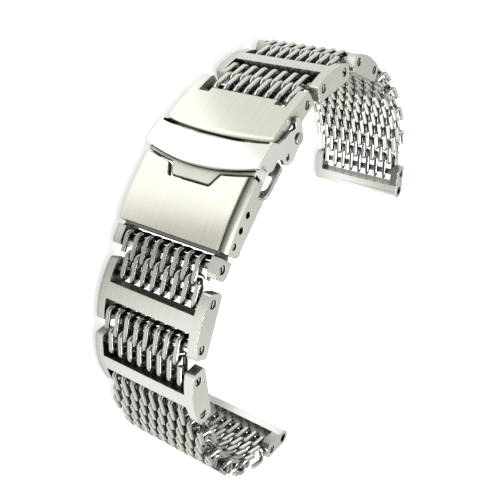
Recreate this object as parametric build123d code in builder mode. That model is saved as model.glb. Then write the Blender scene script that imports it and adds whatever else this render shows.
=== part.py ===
from build123d import *
from copy import copy
import os
from math import atan2, cos, degrees, dist, radians, sin, sqrt

# Shark mesh watch bracelet, 22 mm wide, lying on its edge with the clasp closed.
# The loop of the bracelet lies in the XY plane and its width runs up Z, so every
# hinge axis is upright. All lengths are millimetres, all headings degrees.

os.makedirs("parts", exist_ok=True)

# Strap
strap_width = 22.0
mid_width = strap_width / 2
screw_pitch = 7.7
rail_end = 1.75
rail_width = 1.8
cross_bar = 2.95
inner_face = 2.05
outer_end = 1.0
outer_crown = 0.95
corner_radius = 0.7
overrun = 1.0

# Woven wire rows
wire = 0.95
wire_pitch = 2.2
row_height = 1.35
row_length = 4.8
entry_extra = 0.4
bend_radius = 1.0
hook_overlap = 1.35
flat_depth = 0.12
narrow_turns = 8
wide_turns = 10
long_rows = 11
least_gap_wanted = 0.4
gap_step_share = 0.25

# Screws
pin_radius = 0.7
pin_play = 0.1
head_radius = 0.8
head_height = 0.75
head_sink = 0.2
seat_play = 0.02
slot_width = 0.35
slot_depth = 0.4

# Clasp cover
cover_overhang = 0.5
cover_wall = 1.2
cover_top = 1.1
cover_radius = 50.0
cover_peak = Vector(16.0, 4.85)
cover_start = 2.0
cover_end = 15.3
cover_edge_round = 1.6
mouth_round = 0.2
wall_heel = Vector(2.75, -1.62)
wall_heel_round = 2.0
wall_toe = Vector(13.9, -0.8)
wall_step = Vector(12.9, 0.5)
wall_step_low = 1.2
wall_step_high = 1.6
end_floor = 3.0
crescent_end = 15.2
crescent_sag = 2.0
notch_low = 11.5
notch_half = 3.95
notch_flare = 2.1
adjust_hole = 0.6
adjust_holes = [Vector(3.98, 0.81), Vector(6.74, 1.21), Vector(9.49, 1.49)]

# Folding blades
blade_pivot = Vector(12.0, 0.5)
fold_pivot = Vector(4.4, -3.1)
end_pivot = Vector(26.2, -1.2)
rivet_radius = 0.6
rivet_bite = 0.6
knuckle_radius = 1.05
running_play = 0.06
press_play = 0.02
arm_width = 2.5
arm_thick = 1.1
arm_bend = 1.2
arm_knee = Vector(10.7, -1.9)
arm_sole = Vector(8.8, -2.6)
tie_start = 8.6
tie_end = 10.1
tie_low = -1.35
tie_high = -0.5
side_play = 0.3
blade_width = 14.2
blade_thick = 0.9
blade_bend = 4.0
blade_dip = Vector(15.5, -2.85)
blade_rise = Vector(21.5, -2.85)
yoke_start = 14.3
yoke_end = 21.6
yoke_half = 10.5
yoke_round = 1.3
yoke_slot_start = 15.7
yoke_slot_end = 19.1
yoke_slot_width = 2.2
yoke_rim = 0.6

# Latch head and safety lock
seam = 0.25
tongue_gap = 0.35
tongue_bevel = 0.2
head_drop = 0.35
head_plate = 0.6
head_end = 20.3
cheek_start = 15.55
cheek_low = 0.9
cheek_wall = 0.8
web_start = 17.0
web_end = 19.6
web_width = 10.0
lock_lift = 0.15
lock_thick = 0.8
lock_round = 0.25
lock_low_end = 16.35
lock_low_sag = 2.35
lock_high_end = 21.0
lock_high_sag = 1.35
ear_thick = 0.65
ear_play = 0.1
ear_round = 1.35
ear_length = 9.3
ear_height = 6.4
ear_shares = [
    (-1.0, 0.97), (-0.97, 0.80), (-0.93, 0.46), (-0.85, 0.39), (-0.66, 0.42), (-0.57, 0.23),
    (-0.59, 0.0), (-0.52, -0.15), (-0.38, -0.26), (-0.15, -0.22), (0.0, -0.20), (0.157, -0.047),
    (0.263, 0.2), (0.269, 0.406), (0.194, 0.547), (0.118, 0.5), (0.056, 0.336), (-0.1, 0.5),
    (-0.29, 0.58), (-0.44, 0.70), (-0.54, 0.97)]
dimple_radius = 0.6
dimple_depth = 0.3
dimple_at = Vector(22.16, -0.87)
pin_head = 1.0
pin_head_thick = 0.25

# End plate
plate_drop = 0.1
plate_thick = 1.2
lip_end = 21.75
lip_sag = 1.1
lip_round = 1.0
plate_tip = 29.2
plate_tab = 1.1
plate_tab_half = 6.9
end_rail_tip = 33.8
end_rail_low = -1.6
end_rail_high = 1.2
end_rail_root = 29.0
skirt_low_start = 2.4
skirt_low_end = 0.9
lug_width = 1.7
lug_radius = 1.3
lug_back = 28.3

# Adjuster link and its spring bar
adjuster_tube = 1.15
adjuster_neck = 2.45
adjuster_shoulder = 1.0
adjuster_inset = 0.9
sleeve_radius = 0.9
sleeve_bore = 0.65
tip_radius = 0.52
collar_radius = 0.6
collar_length = 3.0
tip_reach = 1.0
spring_wire = 0.2
spring_radius = 0.42
spring_side = 0.9
spring_pitch = 1.1

# Lug ends, for a spring bar of 1.8 mm
lug_bore = 0.925
lug_tube = 1.7
lug_reach = 4.3

# Headings of the two halves, from the clasp outwards
lower_headings = [202.0, 204.6, 204.9, 213.0, 224.0, 237.2]
lower_mesh_headings = [242, 243, 246, 252, 259, 267, 276, 285, 294, 303, 311, 318]
upper_headings = [-22.5, -24.7, -29.9, -28.5, -35.5, -62.0]
upper_mesh_headings = [-66, -70, -75, -81, -87, -93, -99, -106, -113, -120, -126, -132]
adjust_pin = Vector(0.0, 0.0)
end_plate_pin = Vector(32.05, 0.0)

lower = -1
upper = 1
pieces = {}
joints_at = {}
self_gaps = {}


def keep(name, piece):
    """File a finished piece under the name of its node."""
    piece.label = name
    pieces[name] = piece


def ahead(point, heading, length):
    """The point a length further on along a heading in the XY plane."""
    angle = radians(heading)
    return point + Vector(cos(angle), sin(angle)) * length


def side_plane(point, heading, hand):
    """X along the strap, Y outwards, at the middle of the width."""
    along = Vector(cos(radians(heading)), sin(radians(heading)))
    return Plane(Vector(point.X, point.Y, mid_width), x_dir=along, z_dir=Vector(0, 0, hand))


def plan_plane(point, heading, hand):
    """X along the strap, Z outwards, at the middle of the width."""
    along = Vector(cos(radians(heading)), sin(radians(heading)))
    outward = Vector(0, 0, hand).cross(along)
    return Plane(Vector(point.X, point.Y, mid_width), x_dir=along, z_dir=outward)


def wire_points(turns, length, top_first):
    """Corners of one flattened left-handed wire row, X along the width."""
    corners = []
    across = -(2 * turns - 1) * wire_pitch / 4
    for run in range(2 * turns):
        side = 1 if (run % 2 == 0) == top_first else -1
        corners.append(Vector(across, -side * length / 2, side * row_height))
        corners.append(Vector(across, side * length / 2, side * row_height))
        across += wire_pitch / 2
    stub = bend_radius * (corners[1] - corners[0]).normalized()
    corners[0] += stub
    corners[-1] -= bend_radius * (corners[-1] - corners[-2]).normalized()
    return corners


def self_gap(route, thickness, reach):
    """Least clear gap of a wire to itself, between points a reach apart along it."""
    count = round(route.length / (gap_step_share * thickness))
    window = round(reach / route.length * count)
    points = [tuple(route @ (order / count)) for order in range(count + 1)]
    return min(
        dist(points[first], points[second])
        for first in range(count - window)
        for second in range(first + window, count + 1)) - thickness


def wire_row(name, point, heading, hand, turns, length, top_first):
    """One bent wire row, with its outer and inner runs ground flat."""
    along = Vector(cos(radians(heading)), sin(radians(heading)))
    outward = Vector(0, 0, hand).cross(along)
    centre = Vector(point.X, point.Y, mid_width)
    plane = Plane(centre, x_dir=Vector(0, 0, -hand), z_dir=outward)
    corners = [plane.from_local_coords(corner) for corner in wire_points(turns, length, top_first)]
    with BuildPart() as row:
        with BuildLine() as route:
            FilletPolyline(*corners, radius=bend_radius)
        with BuildSketch(Plane(route.line @ 0, z_dir=route.line % 0)):
            Circle(wire / 2)
        sweep(path=route.line)
        with BuildSketch(plane.offset(-row_height - wire / 2 + flat_depth)):
            Rectangle(2 * strap_width, 2 * length)
        extrude(amount=2 * row_height + wire - 2 * flat_depth, mode=Mode.INTERSECT)
    keep(name, row.part)
    self_gaps[name] = self_gap(route.wires()[0], wire, row_length)


def strap_profile(half, hand):
    """Side outline of a rail: flat inside, crowned outside, rounded corners."""
    with BuildSketch(mode=Mode.PRIVATE) as outline:
        with BuildLine():
            Line((-half, -inner_face), (half, -inner_face))
            Line((half, -inner_face), (half, outer_end))
            ThreePointArc((half, outer_end), (0, outer_end + outer_crown), (-half, outer_end))
            Line((-half, outer_end), (-half, -inner_face))
        make_face()
        fillet(outline.vertices(), corner_radius)
    return outline.sketch


def h_frame(name, centre, heading, hand, pins):
    """H-shaped link: a cross bar with two rails on each side of it."""
    half = screw_pitch / 2 + rail_end
    window = half - cross_bar / 2
    opening = strap_width - 2 * rail_width
    with BuildPart() as frame:
        with BuildSketch(side_plane(centre, heading, hand)):
            add(strap_profile(half, hand))
        extrude(amount=mid_width, both=True)
        with BuildSketch(plan_plane(centre, heading, hand)):
            with Locations(((cross_bar + window + overrun) / 2, 0), (-(cross_bar + window + overrun) / 2, 0)):
                Rectangle(window + overrun, opening)
        extrude(amount=inner_face + outer_crown + outer_end, both=True, mode=Mode.SUBTRACT)
        add(screw_holes(pins), mode=Mode.SUBTRACT)
    keep(name, frame.part)


def screw_holes(pins):
    """The room of cross holes for screw pins, wider for the heads on the top edge."""
    with BuildPart() as holes:
        with BuildSketch(Plane.XY.offset(-overrun)):
            with Locations(*pins):
                Circle(pin_radius + seat_play)
        extrude(amount=strap_width + 2 * overrun)
        with BuildSketch(Plane.XY.offset(strap_width - head_sink - head_height)):
            with Locations(*pins):
                Circle(head_radius + seat_play)
        extrude(amount=head_height + overrun)
    return holes.part


def screws(name, pins, turn):
    """Screw pins that cross the strap, slotted on the top edge."""
    head_low = strap_width - head_sink - head_height
    with BuildPart() as screw:
        with BuildSketch(Plane.XY.offset(head_sink)):
            with Locations(*pins):
                Circle(pin_radius)
        extrude(amount=head_low - head_sink)
        with BuildSketch(Plane.XY.offset(head_low)):
            with Locations(*pins):
                Circle(head_radius)
        extrude(amount=head_height)
        with BuildSketch(Plane.XY.offset(strap_width - head_sink)):
            for order, pin in enumerate(pins):
                with Locations(Location((pin.X, pin.Y), turn * (order + 1))):
                    Rectangle(2 * head_radius + slot_width, slot_width)
        extrude(amount=-slot_depth, mode=Mode.SUBTRACT)
    keep(name, screw.part)


# Distances along the chain of rows
pin_to_row = row_length / 2 - wire / 2 - pin_radius - pin_play
row_step = row_length - hook_overlap
pin_to_hook = pin_to_row + row_step / 2
entry_shift = entry_extra / 2


def pair_of_rows(label, start, headings, hand):
    """Two narrow rows between the pins of two frames, and the far pin."""
    hook = ahead(start, headings[0], pin_to_hook)
    end = ahead(hook, headings[1], pin_to_hook)
    first = ahead(start, headings[0], pin_to_row)
    second = ahead(hook, headings[1], row_step / 2)
    wire_row(f"{label}_row_1", first, headings[0], hand, narrow_turns, row_length, True)
    wire_row(f"{label}_row_2", second, headings[1], hand, narrow_turns, row_length, False)
    joints_at[f"{label}_row_1"] = start
    joints_at[f"{label}_row_2"] = hook
    return end


def frame_link(name, start, heading, hand, turn):
    """An H frame with its two screws, from its near pin to its far pin."""
    end = ahead(start, heading, screw_pitch)
    h_frame(name, (start + end) / 2, heading, hand, [start, end])
    screws(f"{name}_screws", [start, end], turn)
    joints_at[name] = start
    return end


def lug_end(name, start, heading, hand, turn):
    """End link: a tube for the watch's spring bar with two rails on it."""
    tube = ahead(start, heading, lug_reach)
    window = pin_to_row
    back = lug_reach - lug_tube
    with BuildPart() as link:
        with BuildSketch(side_plane(start, heading, hand)):
            with BuildLine():
                Polyline(
                    (-rail_end, -inner_face + corner_radius), (-rail_end + corner_radius, -inner_face),
                    (back, -inner_face), (lug_reach, -lug_tube), (lug_reach, lug_tube),
                    (back, outer_end + outer_crown / 2),
                    (-rail_end + corner_radius, outer_end + outer_crown / 2),
                    (-rail_end, outer_end), close=True)
            make_face()
            with Locations((lug_reach, 0)):
                Circle(lug_tube)
        extrude(amount=mid_width, both=True)
        with BuildSketch(plan_plane(start, heading, hand)):
            with Locations(((back - rail_end - overrun) / 2, 0)):
                Rectangle(back + rail_end + overrun, strap_width - 2 * rail_width)
        extrude(amount=2 * inner_face, both=True, mode=Mode.SUBTRACT)
        add(screw_holes([start]), mode=Mode.SUBTRACT)
        with BuildSketch(Plane.XY.offset(-overrun)):
            with Locations(tube):
                Circle(lug_bore)
        extrude(amount=strap_width + 2 * overrun, mode=Mode.SUBTRACT)
    keep(name, link.part)
    screws(f"{name}_screw", [start], turn)
    joints_at[name] = start
    joints_at[f"{name}_bore"] = tube


def long_mesh(label, start, headings, hand, turn):
    """Rows of the full width, with a narrow row in the frame at each end."""
    point = start
    for order in range(long_rows):
        heading = headings[order]
        inner_row = order in (0, long_rows - 1)
        turns = narrow_turns if inner_row else wide_turns
        length = row_length + entry_extra if inner_row else row_length
        to_centre = row_step / 2
        to_next = row_step / 2
        if order == 0:
            to_centre = pin_to_row + entry_shift
            to_next = row_step / 2 + entry_shift
        if order == long_rows - 1:
            to_centre = row_step / 2 + entry_shift
            to_next = pin_to_row + entry_shift
        name = f"{label}_row_{order + 1:02d}"
        joints_at[name] = point
        centre = ahead(point, heading, to_centre)
        wire_row(name, centre, heading, hand, turns, length, order % 2 == 0)
        point = ahead(centre, heading, to_next)
    lug_end(f"{label}_lug_end", point, headings[long_rows], hand, turn)


# Lower half, from the clasp's adjuster link to the watch
point = pair_of_rows("lower_link_1", adjust_pin, lower_headings[0:2], lower)
point = frame_link("lower_frame_1", point, lower_headings[2], lower, 25)
point = pair_of_rows("lower_link_2", point, lower_headings[3:5], lower)
point = frame_link("lower_frame_2", point, lower_headings[5], lower, 70)
long_mesh("lower_mesh", point, lower_mesh_headings, lower, 40)

# Upper half, from the end plate to the watch
point = pair_of_rows("upper_link_1", end_plate_pin, upper_headings[0:2], upper)
point = frame_link("upper_frame_1", point, upper_headings[2], upper, 55)
point = pair_of_rows("upper_link_2", point, upper_headings[3:5], upper)
point = frame_link("upper_frame_2", point, upper_headings[5], upper, 15)
long_mesh("upper_mesh", point, upper_mesh_headings, upper, 80)


def surface(along, drop=0.0):
    """A point of the clasp's arched outer surface, or of one parallel to it."""
    rise = sqrt(cover_radius ** 2 - (along - cover_peak.X) ** 2) - cover_radius
    return (along, cover_peak.Y + rise - drop)


def arch(start, end, drop):
    """The three points of an arc of the outer surface."""
    return surface(start, drop), surface((start + end) / 2, drop), surface(end, drop)


def band(start, end, drop, thick, low, high):
    """An arched plate of even thickness, from one edge of the strap's width to another."""
    with BuildPart() as plate:
        with BuildSketch(Plane.XY.offset(low)):
            with BuildLine():
                outer = ThreePointArc(*arch(start, end, drop))
                inner = ThreePointArc(*arch(start, end, drop + thick))
                Line(outer @ 0, inner @ 0)
                Line(outer @ 1, inner @ 1)
            make_face()
        extrude(amount=high - low)
    return plate.part


def crescent(end, sag, limit, floor):
    """Plan room from a bowed edge to a limit further along, above a floor."""
    reach = mid_width + cover_overhang + overrun
    with BuildPart() as room:
        with BuildSketch(Plane.XZ.offset(-floor)):
            with BuildLine():
                edge = ThreePointArc(
                    (end, mid_width - reach), (end - sag, mid_width), (end, mid_width + reach))
                Polyline(edge @ 0, (limit, mid_width - reach), (limit, mid_width + reach), edge @ 1)
            make_face()
        extrude(amount=-cover_radius)
    return room.part


def notch(grow):
    """Plan room of the thumb notch, grown by the seam for the cut in the cover."""
    low = notch_low - grow
    high = cheek_start
    half = notch_half + grow
    with BuildPart() as room:
        with BuildSketch(Plane.XZ) as outline:
            with BuildLine():
                Polyline(
                    (low, mid_width - half), (low, mid_width + half),
                    (high, mid_width + half + notch_flare),
                    (high, mid_width - half - notch_flare), close=True)
            make_face()
            fillet(outline.vertices().group_by(Axis.X)[0], seam + grow)
        extrude(amount=-cover_radius)
    return room.part


def bores(radius, points, low, high):
    """Round room along the strap's width through the given points."""
    with BuildPart() as room:
        with BuildSketch(Plane.XY.offset(low)):
            with Locations(*points):
                Circle(radius)
        extrude(amount=high - low)
    return room.part


def slab(start, end, low, high, bottom, top):
    """A block given by its limits along the strap, outwards and across."""
    with BuildPart() as block:
        with BuildSketch(Plane.XY.offset(bottom)):
            with Locations(((start + end) / 2, (low + high) / 2)):
                Rectangle(end - start, high - low)
        extrude(amount=top - bottom)
    return block.part


def both_sides(piece):
    """A piece and its mirror image on the other edge of the strap."""
    return piece + mirror(piece, about=Plane.XY.offset(mid_width))


def edges_beyond(face, along):
    """The edges of a face whose middles lie beyond a distance along the strap."""
    return face.edges().filter_by(lambda edge: edge.center().X > along)


def edges_before(face, along):
    """The edges of a face whose middles lie before a distance along the strap."""
    return face.edges().filter_by(lambda edge: edge.center().X < along)


outside = mid_width + cover_overhang
inside = outside - cover_wall
bottom = mid_width - outside
top = mid_width + outside

# Clasp cover: a channel with an arched top and a thumb notch in its bowed end
with BuildPart() as clasp_cover:
    with BuildSketch(Plane.XY.offset(bottom)) as side_wall:
        with BuildLine():
            roof = ThreePointArc(*arch(cover_start, cover_end, 0))
            Polyline(
                roof @ 1, (cover_end, wall_step_high), (wall_step.X, wall_step_low), wall_step, wall_toe,
                wall_heel, roof @ 0)
        make_face()
        fillet(side_wall.vertices().sort_by(Axis.Y)[0], wall_heel_round)
    extrude(amount=2 * outside)
    rims = clasp_cover.edges().filter_by(GeomType.CIRCLE).sort_by(Axis.Y)
    fillet(rims[-2:], cover_edge_round)
    add(band(cover_start - overrun, cover_end + overrun, cover_top, cover_radius / 2,
             mid_width - inside, mid_width + inside), mode=Mode.SUBTRACT)
    add(crescent(crescent_end, crescent_sag, cover_end + overrun, end_floor), mode=Mode.SUBTRACT)
    add(notch(tongue_gap), mode=Mode.SUBTRACT)
    add(bores(adjust_hole, adjust_holes, bottom - overrun, top + overrun), mode=Mode.SUBTRACT)
    add(bores(rivet_radius + press_play, [blade_pivot], mid_width - inside - rivet_bite,
              mid_width + inside + rivet_bite), mode=Mode.SUBTRACT)
    outer_face = clasp_cover.faces().sort_by(Axis.Y)[-1]
    fillet(edges_beyond(outer_face, notch_low - 2 * tongue_gap), mouth_round)
keep("clasp_cover", clasp_cover.part)

# Side positions of the blades, from the middle of the strap
arm_outer = inside - side_play
arm_inner = arm_outer - arm_width
blade_half = blade_width / 2

with BuildPart() as blade_rivets:
    add(both_sides(bores(rivet_radius, [blade_pivot], mid_width + arm_inner,
                         mid_width + inside + rivet_bite - seat_play)))
keep("blade_rivets", blade_rivets.part)

# Outer blade: two side arms tied by a bridge
with BuildPart() as outer_blade:
    with BuildSketch(Plane.XY.offset(mid_width + arm_inner)):
        with BuildLine() as arm_route:
            FilletPolyline(blade_pivot, arm_knee, arm_sole, fold_pivot, radius=arm_bend)
        trace(line_width=arm_thick)
        with Locations(blade_pivot, fold_pivot):
            Circle(knuckle_radius)
    extrude(amount=arm_width)
    add(slab(tie_start, tie_end, arm_sole.Y, tie_high, mid_width + arm_inner, mid_width + arm_outer))
    mirror(about=Plane.XY.offset(mid_width))
    add(slab(tie_start, tie_end, tie_low, tie_high, mid_width - arm_outer, mid_width + arm_outer))
    add(bores(rivet_radius + running_play, [blade_pivot], bottom, top), mode=Mode.SUBTRACT)
    add(bores(rivet_radius + press_play, [fold_pivot], bottom, top), mode=Mode.SUBTRACT)
keep("outer_blade", outer_blade.part)

fold_pin = bores(rivet_radius, [fold_pivot], mid_width - arm_outer, mid_width + arm_outer)
keep("fold_pin", fold_pin)

# Inner blade: a pressed strip with a slotted yoke below the latch head
with BuildPart() as inner_blade:
    with BuildSketch(Plane.XY.offset(mid_width - blade_half)):
        with BuildLine():
            FilletPolyline(fold_pivot, blade_dip, blade_rise, end_pivot, radius=blade_bend)
        trace(line_width=blade_thick)
        with Locations(fold_pivot, end_pivot):
            Circle(knuckle_radius)
    extrude(amount=blade_width)
    with BuildSketch(Plane.XZ.offset(-blade_rise.Y)):
        with Locations(((yoke_start + yoke_end) / 2, mid_width)):
            RectangleRounded(yoke_end - yoke_start, 2 * yoke_half, yoke_round)
    extrude(amount=blade_thick / 2, both=True)
    slot_length = yoke_slot_end - yoke_slot_start
    slot_middle = mid_width + yoke_half - yoke_rim - yoke_slot_width / 2
    with BuildSketch(Plane.XZ.offset(-blade_rise.Y)):
        with Locations(((yoke_slot_start + yoke_slot_end) / 2, slot_middle)):
            SlotOverall(slot_length, yoke_slot_width)
        mirror(about=Plane.XY.offset(mid_width))
    extrude(amount=blade_thick, both=True, mode=Mode.SUBTRACT)
    add(bores(rivet_radius + running_play, [fold_pivot], bottom, top), mode=Mode.SUBTRACT)
    add(bores(rivet_radius + press_play, [end_pivot], bottom, top), mode=Mode.SUBTRACT)
keep("inner_blade", inner_blade.part)


def cheek(start, end, drop, low, bottom_level, thick):
    """A side wall below an arched edge, down to a level."""
    with BuildPart() as wall:
        with BuildSketch(Plane.XY.offset(bottom_level)):
            with BuildLine():
                roof_line = ThreePointArc(*arch(start, end, drop))
                Polyline(roof_line @ 1, (end, low), (start, low), roof_line @ 0)
            make_face()
        extrude(amount=thick)
    return wall.part


# Latch head: rides on the inner blade, closes the mouth of the cover and carries its tongue
with BuildPart() as latch_head:
    add(band(notch_low, head_end, head_drop, head_plate, 0, strap_width))
    add(crescent(crescent_end + tongue_gap, crescent_sag, head_end + overrun, 0) + notch(0),
        mode=Mode.INTERSECT)
    chamfer(edges_before(latch_head.faces().sort_by(Axis.Y)[-1], cheek_start), tongue_bevel)
    add(both_sides(cheek(cheek_start, head_end, head_drop, cheek_low, strap_width - cheek_wall, cheek_wall)))
    web_drop = head_drop + head_plate / 2
    add(cheek(web_start, web_end, web_drop, blade_rise.Y, mid_width - web_width / 2, web_width))
    add(inner_blade.part, mode=Mode.SUBTRACT)
keep("latch_head", latch_head.part)

# Side positions of the lock and the pin that it turns on
ear_inner = mid_width + ear_play
lock_half = ear_inner + ear_thick
pin_end = lock_half + running_play

with BuildPart() as end_pin:
    add(bores(rivet_radius, [end_pivot], mid_width - pin_end, mid_width + pin_end))
    add(both_sides(bores(pin_head, [end_pivot], mid_width + pin_end, mid_width + pin_end + pin_head_thick)))
keep("end_pin", end_pin.part)

# Safety lock: a polished bar with an ear on each side, turning on the end pin
with BuildPart() as safety_lock:
    add(band(cover_end - crescent_sag, lip_end, head_drop - lock_lift - lock_thick, lock_thick,
             mid_width - lock_half, mid_width + lock_half))
    add(crescent(lock_low_end, lock_low_sag, lip_end + overrun, 0), mode=Mode.INTERSECT)
    add(crescent(lock_high_end, lock_high_sag, lip_end + overrun, 0), mode=Mode.SUBTRACT)
    fillet(safety_lock.edges().filter_by(GeomType.BSPLINE), lock_round)
    with BuildSketch(Plane.XY.offset(mid_width + ear_inner)) as ear:
        with BuildLine():
            Polyline(*[
                end_pivot + Vector(ear_length * across, ear_height * out) for across, out in ear_shares],
                close=True)
        make_face()
        fillet(ear.vertices(), seam)
        with Locations(end_pivot):
            Circle(ear_round)
    extrude(amount=ear_thick)
    mirror(about=Plane.XY.offset(mid_width))
    add(bores(rivet_radius + running_play, [end_pivot], mid_width - pin_end, mid_width + pin_end),
        mode=Mode.SUBTRACT)
    add(both_sides(bores(dimple_radius, [dimple_at], mid_width + lock_half - dimple_depth,
                         mid_width + lock_half + running_play)), mode=Mode.SUBTRACT)
keep("safety_lock", safety_lock.part)

# Upper end plate: arched plate with a rail on each side and two lugs on the end pin
rail_inner = mid_width - rail_width
lug_outer = rail_inner - side_play
with BuildPart() as upper_end_plate:
    add(band(head_end, plate_tip, plate_drop, plate_thick, 0, strap_width))
    add(band(plate_tip - seam, plate_tip + plate_tab, plate_drop, plate_thick,
             mid_width - plate_tab_half, mid_width + plate_tab_half))
    with BuildSketch(Plane.XY.offset(mid_width + rail_inner)):
        with BuildLine():
            crown = ThreePointArc(*arch(head_end, end_rail_tip - corner_radius, plate_drop))
            Polyline(
                crown @ 1, (end_rail_tip, end_rail_high), (end_rail_tip, end_rail_low + corner_radius),
                (end_rail_tip - corner_radius, end_rail_low), (end_rail_root, end_rail_low + corner_radius),
                (end_rail_root, skirt_low_end), (lip_end, skirt_low_start), crown @ 0)
        make_face()
    extrude(amount=rail_width)
    mirror(about=Plane.XY.offset(mid_width))
    add(crescent(lip_end, lip_sag, end_rail_tip + overrun, end_rail_low - overrun), mode=Mode.INTERSECT)
    fillet(upper_end_plate.edges().group_by(Axis.X)[0].sort_by(Axis.Y)[-1], lip_round)
    with BuildSketch(Plane.XY.offset(mid_width + lug_outer - lug_width)):
        with BuildLine():
            Polyline(
                end_pivot - (lug_radius, 0), surface(end_pivot.X - lug_radius, plate_drop + plate_thick / 2),
                surface(lug_back, plate_drop + plate_thick / 2), (lug_back, end_pivot.Y), close=True)
        make_face()
        with Locations(end_pivot):
            Circle(lug_radius)
    extrude(amount=lug_width)
    mirror(about=Plane.XY.offset(mid_width))
    add(screw_holes([end_plate_pin]), mode=Mode.SUBTRACT)
    add(bores(rivet_radius + running_play, [end_pivot], 0, strap_width), mode=Mode.SUBTRACT)
keep("upper_end_plate", upper_end_plate.part)
screws("upper_end_plate_screw", [end_plate_pin], 35)

# Adjuster link: tube for the spring bar inside the cover, rails for the first screw outside it
adjuster_pivot = adjust_holes[0]
adjuster_run = adjust_pin - adjuster_pivot
adjuster_heading = degrees(atan2(adjuster_run.Y, adjuster_run.X))
adjuster_length = adjuster_run.length
adjuster_mouth = adjuster_length - pin_to_row - wire
with BuildPart() as adjuster_link:
    with BuildSketch(side_plane(adjuster_pivot, adjuster_heading, lower)):
        with BuildLine():
            tip = adjuster_length + rail_end
            high = outer_end + outer_crown / 2
            Polyline(
                (0, adjuster_tube), (adjuster_neck - seam, adjuster_shoulder), (adjuster_neck, high),
                (tip - corner_radius, high), (tip, outer_end),
                (tip, corner_radius - inner_face), (tip - corner_radius, -inner_face),
                (adjuster_neck, -inner_face), (0, -adjuster_tube), close=True)
        make_face()
        Circle(adjuster_tube)
    extrude(amount=mid_width, both=True)
    neck = side_plane(ahead(adjuster_pivot, adjuster_heading, adjuster_neck), adjuster_heading, lower)
    for sign in (-1, 1):
        with BuildSketch(neck.offset(sign * (mid_width - adjuster_inset / 2))):
            with Locations((-adjuster_length, 0)):
                Rectangle(2 * adjuster_length, 2 * adjuster_length)
        extrude(amount=adjuster_inset / 2, both=True, mode=Mode.SUBTRACT)
    with BuildSketch(plan_plane(adjuster_pivot, adjuster_heading, lower)):
        with Locations((adjuster_mouth + adjuster_length, 0)):
            Rectangle(2 * adjuster_length, strap_width - 2 * rail_width)
    extrude(amount=2 * inner_face, both=True, mode=Mode.SUBTRACT)
    add(screw_holes([adjust_pin]), mode=Mode.SUBTRACT)
    add(bores(sleeve_radius + seat_play, [adjuster_pivot], 0, strap_width), mode=Mode.SUBTRACT)
keep("adjuster_link", adjuster_link.part)
screws("adjuster_link_screw", [adjust_pin], 60)

# Spring bar: a sleeve, two sprung tips and the spring between them
sleeve_half = inside - side_play
with BuildPart() as spring_bar_sleeve:
    add(bores(sleeve_radius, [adjuster_pivot], mid_width - sleeve_half, mid_width + sleeve_half))
    add(bores(sleeve_bore, [adjuster_pivot], mid_width - sleeve_half + seam, mid_width + sleeve_half - seam),
        mode=Mode.SUBTRACT)
    add(bores(tip_radius + press_play, [adjuster_pivot], 0, strap_width), mode=Mode.SUBTRACT)
keep("spring_bar_sleeve", spring_bar_sleeve.part)

collar_top = mid_width + sleeve_half - seam - seat_play
tip_top = mid_width + inside + tip_reach
spring_bar_tip = (
    bores(collar_radius, [adjuster_pivot], collar_top - collar_length, collar_top)
    + bores(tip_radius, [adjuster_pivot], collar_top, tip_top))
keep("spring_bar_tip_top", spring_bar_tip)
keep("spring_bar_tip_bottom", mirror(spring_bar_tip, about=Plane.XY.offset(mid_width)))

spring_low = mid_width - (collar_top - collar_length - mid_width)
spring_length = 2 * (collar_top - collar_length - mid_width) - 2 * spring_wire
spring_turns = int(spring_length / spring_pitch)
spring_corners = [
    Vector(adjuster_pivot.X + spring_side / 2 * cos(radians(90 * turn + 45)) * sqrt(2),
           adjuster_pivot.Y + spring_side / 2 * sin(radians(90 * turn + 45)) * sqrt(2),
           spring_low + spring_wire + spring_length * turn / (4 * spring_turns))
    for turn in range(4 * spring_turns + 1)]
with BuildPart() as spring_bar_spring:
    with BuildLine() as spring_route:
        FilletPolyline(*spring_corners, radius=spring_radius)
    with BuildSketch(Plane(spring_route.line @ 0, z_dir=spring_route.line % 0)):
        Circle(spring_wire / 2)
    sweep(path=spring_route.line)
keep("spring_bar_spring", spring_bar_spring.part)
self_gaps["spring_bar_spring"] = self_gap(spring_route.wires()[0], spring_wire, 2 * spring_side)

# The origin goes to the middle of the loop, on the surface that the edge lies on
whole = Compound(children=[copy(piece) for piece in pieces.values()]).bounding_box()
origin = Vector((whole.min.X + whole.max.X) / 2, (whole.min.Y + whole.max.Y) / 2, whole.min.Z)
for name, piece in pieces.items():
    placed = piece.moved(Location(-origin))
    placed.label = name
    export_step(placed, f"parts/{name}.step")

tightest = min(self_gaps, key=self_gaps.get)
print(f"least gap of a wire to itself: {self_gaps[tightest]:.2f} mm in {tightest}")
if self_gaps[tightest] < least_gap_wanted:
    print("that gap is under the one wanted")
print("origin of the strap's own frame:", origin)
print("overall size:", whole.size)
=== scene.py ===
import bpy
from mathutils import Matrix, Vector


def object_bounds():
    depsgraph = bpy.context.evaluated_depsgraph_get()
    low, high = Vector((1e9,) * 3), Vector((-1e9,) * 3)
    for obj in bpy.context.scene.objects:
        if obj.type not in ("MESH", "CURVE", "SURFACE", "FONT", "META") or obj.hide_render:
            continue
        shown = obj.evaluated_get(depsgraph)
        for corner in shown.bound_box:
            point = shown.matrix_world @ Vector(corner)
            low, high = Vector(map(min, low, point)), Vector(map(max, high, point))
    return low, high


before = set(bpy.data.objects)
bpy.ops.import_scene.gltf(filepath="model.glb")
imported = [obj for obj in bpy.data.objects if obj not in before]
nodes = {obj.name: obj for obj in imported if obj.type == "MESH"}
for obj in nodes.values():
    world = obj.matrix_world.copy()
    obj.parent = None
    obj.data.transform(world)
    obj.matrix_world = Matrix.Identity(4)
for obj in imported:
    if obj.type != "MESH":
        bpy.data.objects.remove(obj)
cad_low, cad_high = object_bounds()

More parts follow.
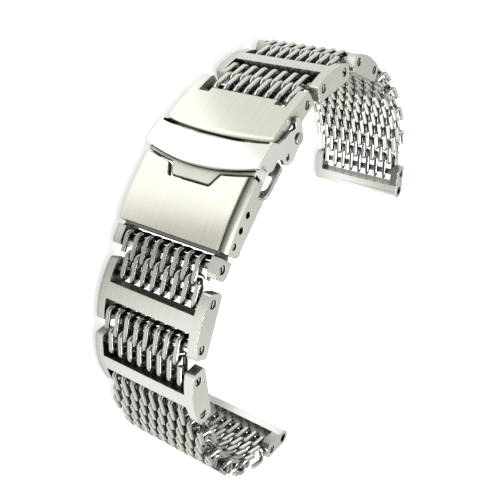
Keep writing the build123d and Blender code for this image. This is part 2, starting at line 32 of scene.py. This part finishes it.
# Clasp cover and upper end plate, the two arched shells that show when the clasp is shut.
# Both are pressed from stainless sheet, then drawn along a belt, so their strokes run along
# the strap, and their edges are left a little rounded.

# The scene is in metres, and a size times MM is one that was given in millimetres
MM = 0.001


def srgb(code):
    """Linear RGBA of an sRGB hex colour."""
    parts = [int(code[i:i + 2], 16) / 255 for i in (1, 3, 5)]
    linear = [part / 12.92 if part <= 0.04045 else ((part + 0.055) / 1.055) ** 2.4 for part in parts]
    return (*linear, 1.0)


def bare_material(name):
    """A material with an empty node tree."""
    material = bpy.data.materials.new(name)
    material.use_nodes = True
    material.node_tree.nodes.clear()
    return material


def add_node(tree, kind, settings, links):
    """A shader node with its properties and socket values set and its inputs joined."""
    node = tree.nodes.new("ShaderNode" + kind)
    for name, value in settings.items():
        if name.islower():
            setattr(node, name, value)
        else:
            node.inputs[name].default_value = value
    for name, source in links.items():
        tree.links.new(source, node.inputs[name])
    return node


def steel(name, light, dark, rough, grain, relief, gap=1.5, open_range=(0.3, 0.7), smudge=0.03):
    """Stainless steel whose grain changes its tone, its roughness and, slightly, its surface.

    The grain's size along X, Y and Z, its relief and the gap are millimetres. Where a surface
    faces more steel within the gap, painted shade darkens its tone, as between the wires. The
    smudges that hands leave are broader than the grain and change the roughness alone. Edges look
    rounded.
    """
    smudge_size = 3.846
    edge_round = 0.15
    noise_range = {"From Min": 0.3, "From Max": 0.7}
    material = bare_material(name)
    tree = material.node_tree
    place = add_node(tree, "TexCoord", {}, {})
    stretched = add_node(
        tree, "Mapping", {"Scale": [1 / (size * MM) for size in grain]},
        {"Vector": place.outputs["Object"]})
    strokes = add_node(
        tree, "TexNoise", {"Scale": 1.0, "Detail": 6.0}, {"Vector": stretched.outputs["Vector"]})
    smudges = add_node(
        tree, "TexNoise", {"Scale": 1 / (smudge_size * MM), "Detail": 2.0},
        {"Vector": place.outputs["Object"]})

    tone = add_node(tree, "MapRange", noise_range, {"Value": strokes.outputs["Fac"]})
    colour = add_node(
        tree, "Mix", {"data_type": "RGBA", "A": srgb(dark), "B": srgb(light)},
        {"Factor": tone.outputs["Result"]})
    # Painted shade: where steel lies within the gap, the tone is mixed towards near black #2A2A26
    openness = add_node(tree, "AmbientOcclusion", {"samples": 4, "Distance": gap * MM}, {})
    open_part = add_node(
        tree, "MapRange", {"From Min": open_range[0], "From Max": open_range[1]},
        {"Value": openness.outputs["AO"]})
    with_painted_shade = add_node(
        tree, "Mix", {"data_type": "RGBA", "A": srgb("#2A2A26")},
        {"Factor": open_part.outputs["Result"], "B": colour.outputs["Result"]})

    stroke_rough = add_node(
        tree, "MapRange", {**noise_range, "To Min": rough[0], "To Max": rough[1]},
        {"Value": strokes.outputs["Fac"]})
    smudge_rough = add_node(
        tree, "MapRange", {**noise_range, "To Min": -smudge, "To Max": smudge},
        {"Value": smudges.outputs["Fac"]})
    roughness = add_node(
        tree, "Math", {"operation": "ADD"},
        {0: stroke_rough.outputs["Result"], 1: smudge_rough.outputs["Result"]})

    edges = add_node(tree, "Bevel", {"samples": 4, "Radius": edge_round * MM}, {})
    bump = add_node(
        tree, "Bump", {"Strength": 0.5, "Distance": relief * MM},
        {"Normal": edges.outputs["Normal"], "Height": strokes.outputs["Fac"]})
    shader = add_node(
        tree, "BsdfPrincipled", {"Metallic": 1.0},
        {"Base Color": with_painted_shade.outputs["Result"], "Roughness": roughness.outputs["Value"],
         "Normal": bump.outputs["Normal"]})
    add_node(tree, "OutputMaterial", {}, {"Surface": shader.outputs["BSDF"]})
    return material


def dress(finish, names):
    """Gives the CAD nodes of these names one finish."""
    for name in names:
        slots = nodes[name].data.materials
        slots.clear()
        slots.append(finish)


# Warm pale 304 steel off a belt: long soft streaks and a broad dull shine. The real strokes
# are about 0.05 mm wide, and are drawn twice as wide so that they show
cover_stroke = (25.0, 25.0, 0.1111)
# Painted shade darkens the cover and end plate where other steel lies close, as in the seams
cover_steel = steel(
    "steel_brushed_clasp", light="#EDECE3", dark="#E1E0D6", rough=(0.24, 0.30),
    grain=cover_stroke, relief=0.0015, open_range=(0.4, 0.85))
dress(cover_steel, ["clasp_cover", "upper_end_plate"])

# Safety lock: the bowed bar with an ear on each side that folds over the clasp's mouth.
# It is stamped from sheet, turns on the end pin and is buffed on a wheel, the only mirror
# on the strap.

# 304 steel polished to a mirror: a clean white reflection with hardly a wave in it
lock_wave = (3.333, 3.333, 1.111)
lock_steel = steel(
    "steel_mirror_lock", light="#F8F8F6", dark="#F4F4F2", rough=(0.04, 0.06),
    grain=lock_wave, relief=0.0001, smudge=0.005)
dress(lock_steel, ["safety_lock"])

# Latch head: the tongue in the cover's thumb notch and the strip along the cover's bowed end.
# It rides on the inner blade and is bead blasted, so that a thumb grips it.

# Bead blasted 304 steel: no streaks and no clear reflection, only fine pits. The real pits are
# about 0.03 mm across, and are drawn coarser so that they show
latch_pit = (0.1111, 0.1111, 0.1111)
# Painted shade darkens the tongue under the safety lock's bar and along its seams
latch_steel = steel(
    "steel_bead_blasted", light="#F2F1EB", dark="#D2D1CA", rough=(0.5, 0.62),
    grain=latch_pit, relief=0.01, gap=2.0, open_range=(0.45, 0.78))
dress(latch_steel, ["latch_head"])

# Folding blades: two arms with a bridge that pivot inside the cover, and the slotted strip that
# carries the latch head. Both are blanked from strip and only tumbled, as the shut clasp
# hides them.

# Tumbled 304 steel: a little duller than the shells, with long faint rolling marks, which are
# finer than the 0.11 mm drawn here
blade_mark = (8.333, 8.333, 0.1111)
blade_steel = steel(
    "steel_satin_blade", light="#E4E4E0", dark="#CFCFCB", rough=(0.2, 0.3),
    grain=blade_mark, relief=0.002)
dress(blade_steel, ["outer_blade", "inner_blade"])

# Screws, pins, rivets and the adjuster's spring bar: small parts turned from bar. The screws
# run across the strap, hold the ends of the wire rows and show a slotted head on the edge.

# Turned and tumbled 303 steel: a faint speckle on the heads, greyer than the frames round
# them. The real tool marks are about 0.05 mm, and are drawn three times as wide so that they show
turned_mark = (0.1667, 0.1667, 2.5)
turned_steel = steel(
    "steel_turned_screw", light="#DEDEDA", dark="#BDBDB9", rough=(0.18, 0.3),
    grain=turned_mark, relief=0.002)
turned_words = ("screw", "pin", "rivet", "bar")
dress(turned_steel, [name for name in nodes if any(word in name for word in turned_words)])

# H-shaped frames and the two lug ends: milled from bar and drawn along a belt like the clasp.
# They close each stretch of wire rows, whose end rows their screws hold.

# Cooler 316 steel off a belt: streaks like the cover's, and painted shade that darkens the window
# walls
link_stroke = (16.667, 16.667, 0.1111)
link_steel = steel(
    "steel_brushed_link", light="#EDEDE9", dark="#DEDEDA", rough=(0.22, 0.30),
    grain=link_stroke, relief=0.002, gap=3.5, open_range=(0.35, 0.8))
dress(link_steel, [name for name in nodes if name.endswith(("frame_1", "frame_2", "lug_end"))])

# Adjuster link: the short link whose spring bar sits in one pair of the cover's holes.
# It is milled and drawn like the frames.

# 316 steel like the frames', with painted shade that sets in sooner, as the web lies deep in the
# cover's end
adjuster_steel = steel(
    "steel_brushed_adjuster", light="#EDEDE9", dark="#DEDEDA", rough=(0.22, 0.30),
    grain=link_stroke, relief=0.002, open_range=(0.6, 0.95))
dress(adjuster_steel, ["adjuster_link"])

# Wire rows: 0.95 mm stainless wire wound into flat coils, each hooked through the bends of the
# next. After weaving, both faces of the mesh are ground flat. Grinding marks and polishing
# haze are too fine to show, and are drawn 0.33 mm wide.
wire_mark = (0.3333, 0.3333, 0.3333)
# Painted shade in the gaps between the wires
wire_painted_shade = {"gap": 2.2, "open_range": (0.3, 0.62)}

# Upper half: 304 wire ground flat, in the lit copy of its steel, painted lighter so that each flat
# glints
upper_wire_lit_copy = steel(
    "steel_wire_lit_copy", light="#F2F2EF", dark="#E6E6E2", rough=(0.10, 0.16),
    grain=wire_mark, relief=0.0005, **wire_painted_shade)
dress(upper_wire_lit_copy, [name for name in nodes if name.startswith("upper") and "_row_" in name])

# Lower half: the same wire in the shaded copy, greyer by painted shade and a little rougher in its
# shine
lower_wire_shaded_copy = steel(
    "steel_wire_shaded_copy", light="#D2D2CE", dark="#C6C6C2", rough=(0.14, 0.22),
    grain=wire_mark, relief=0.0005, **wire_painted_shade)
dress(lower_wire_shaded_copy, [name for name in nodes if name.startswith("lower") and "_row_" in name])

# Floor: a wide sheet of matte white paper on which the strap stands on its edge. It is plain
# paper to the camera and the lamp. To the steel it shows a painted reflection that glows bright
# before the safety lock, grey before the adjuster end and dark inside the loop.
floor_size = 3.0
bpy.ops.mesh.primitive_plane_add(size=floor_size, location=(0, 0, 0))
floor = bpy.context.object
floor.name = "floor"
floor_material = bare_material("paper_white_with_painted_reflection")
floor.data.materials.append(floor_material)
floor_tree = floor_material.node_tree

# Matte white paper: even and almost shadowless, as it is lit from below too
paper = add_node(
    floor_tree, "BsdfPrincipled",
    {"Metallic": 0.0, "Base Color": srgb("#F8F8F8"), "Roughness": 0.9,
     "Emission Color": srgb("#FFFFFF"), "Emission Strength": 0.7}, {})

# Painted reflection tones that the steel sees, at distances in millimetres from the strap's middle
# along X
tone_reach = 100
tone_stops = [
    (-48, "#DADAD6"), (-34, "#C8C8C3"), (-22, "#A9A8A3"), (-16, "#B0AFAA"), (-8, "#EBEBE6"),
    (2, "#FAFAF8"), (15, "#F4F4F2"), (24, "#CFCFCA"), (70, "#C4C4C0")]
floor_place = add_node(floor_tree, "TexCoord", {}, {}).outputs["Object"]
floor_axes = add_node(floor_tree, "SeparateXYZ", {}, {"Vector": floor_place})
along = add_node(
    floor_tree, "MapRange", {"From Min": -tone_reach * MM, "From Max": tone_reach * MM},
    {"Value": floor_axes.outputs["X"]})
tones = add_node(floor_tree, "ValToRGB", {}, {"Fac": along.outputs["Result"]})
positions = [(distance + tone_reach) / (2 * tone_reach) for distance, code in tone_stops]
tones.color_ramp.elements[0].position = positions[0]
tones.color_ramp.elements[1].position = positions[-1]
for position in positions[1:-1]:
    tones.color_ramp.elements.new(position)
for element, (distance, code) in zip(tones.color_ramp.elements, tone_stops):
    element.color = srgb(code)

# Painted dark reflection inside the loop: an oval that fades from its core to its rim
dark_oval_squeeze = (0.7, 1.0, 1.0)
dark_oval_core = 20 * MM
dark_oval_rim = 30 * MM
squeezed = add_node(floor_tree, "Mapping", {"Scale": dark_oval_squeeze}, {"Vector": floor_place})
from_middle = add_node(
    floor_tree, "VectorMath", {"operation": "LENGTH"}, {0: squeezed.outputs["Vector"]})
off_dark_oval = add_node(
    floor_tree, "MapRange", {"From Min": dark_oval_core, "From Max": dark_oval_rim},
    {"Value": from_middle.outputs["Value"]})
mirrored = add_node(
    floor_tree, "Mix", {"data_type": "RGBA", "A": srgb("#3C3C38")},
    {"Factor": off_dark_oval.outputs["Result"], "B": tones.outputs["Color"]})
# Painted reflection: glossy rays see the floor glow in these tones instead of the paper
painted_reflection_glow = add_node(
    floor_tree, "Emission", {"Strength": 1.5}, {"Color": mirrored.outputs["Result"]})
floor_rays = add_node(floor_tree, "LightPath", {}, {})
floor_seen = add_node(
    floor_tree, "MixShader", {},
    {"Fac": floor_rays.outputs["Is Glossy Ray"], 1: paper.outputs["BSDF"],
     2: painted_reflection_glow.outputs["Emission"]})
add_node(floor_tree, "OutputMaterial", {}, {"Surface": floor_seen.outputs["Shader"]})

# World: plain white to the camera. The steel sees a pale dome on the wrist side of the clasp
# and, on its outer side, a room that is dark low down and pale only overhead.
world = bpy.data.worlds.new("studio")
bpy.context.scene.world = world
world.use_nodes = True
sky_tree = world.node_tree
sky_tree.nodes.clear()
sky_place = add_node(sky_tree, "TexCoord", {}, {})
sky_axes = add_node(sky_tree, "SeparateXYZ", {}, {"Vector": sky_place.outputs["Generated"]})
sides = []
for low_tone, low_height, high_tone, high_height in (
        ("#8A8A88", 0.0, "#DCDCD8", 0.5), ("#1C1C1A", 0.3, "#B8B8B4", 0.95)):
    side = add_node(sky_tree, "ValToRGB", {}, {"Fac": sky_axes.outputs["Z"]})
    low_end, high_end = side.color_ramp.elements
    low_end.position = low_height
    low_end.color = srgb(low_tone)
    high_end.position = high_height
    high_end.color = srgb(high_tone)
    sides.append(side.outputs["Color"])
outward = add_node(
    sky_tree, "MapRange", {"From Min": 0.0, "From Max": 0.5}, {"Value": sky_axes.outputs["Y"]})
dome = add_node(
    sky_tree, "Mix", {"data_type": "RGBA"},
    {"Factor": outward.outputs["Result"], "A": sides[0], "B": sides[1]})
studio_light = add_node(
    sky_tree, "Background", {"Strength": 1.0}, {"Color": dome.outputs["Result"]})
plain_white = add_node(sky_tree, "Background", {"Color": srgb("#FFFFFF"), "Strength": 1.0}, {})
sky_rays = add_node(sky_tree, "LightPath", {}, {})
sky_seen = add_node(
    sky_tree, "MixShader", {},
    {"Fac": sky_rays.outputs["Is Camera Ray"], 1: studio_light.outputs["Background"],
     2: plain_white.outputs["Background"]})
add_node(sky_tree, "OutputWorld", {}, {"Surface": sky_seen.outputs["Shader"]})

# Key lamp: one soft box high up on the wrist side, turned to the middle of the strap
lamp_place = Vector((-0.12, -0.10, 0.40))
lamp_data = bpy.data.lights.new("key_light", "AREA")
lamp_data.size = 0.25
lamp_data.energy = 1.5
lamp = bpy.data.objects.new("key_light", lamp_data)
bpy.context.scene.collection.objects.link(lamp)
lamp.location = lamp_place
to_middle = (cad_low + cad_high) / 2 - lamp_place
lamp.rotation_euler = to_middle.to_track_quat("-Z", "Y").to_euler()

# Camera: the photograph's own view, fitted to the strap's rails and clasp. Its place is given
# from the point of the clasp that the fit was measured from.
image_width = 500
focal_pixels = 677.095
sensor_width = 36.0
right_axis = Vector((0.43870402, -0.36101904, 0.82292407))
down_axis = Vector((-0.86346296, -0.42303031, 0.27473091))
view_axis = Vector((0.24893873, -0.83109001, -0.49731167))
clasp_origin = Vector((-14.6326, 25.3686, 1.06)) * MM
eye = clasp_origin + Vector((-21.86, 88.36, 77.70)) * MM
camera_data = bpy.data.cameras.new("camera")
camera_data.sensor_width = sensor_width
camera_data.lens = sensor_width * focal_pixels / image_width
camera_data.clip_start = 1 * MM
camera = bpy.data.objects.new("camera", camera_data)
bpy.context.scene.collection.objects.link(camera)
turn = Matrix((right_axis, -down_axis, -view_axis)).transposed()
camera.matrix_world = Matrix.Translation(eye) @ turn.to_4x4()
bpy.context.scene.camera = camera
bpy.context.scene.view_settings.view_transform = "Standard"
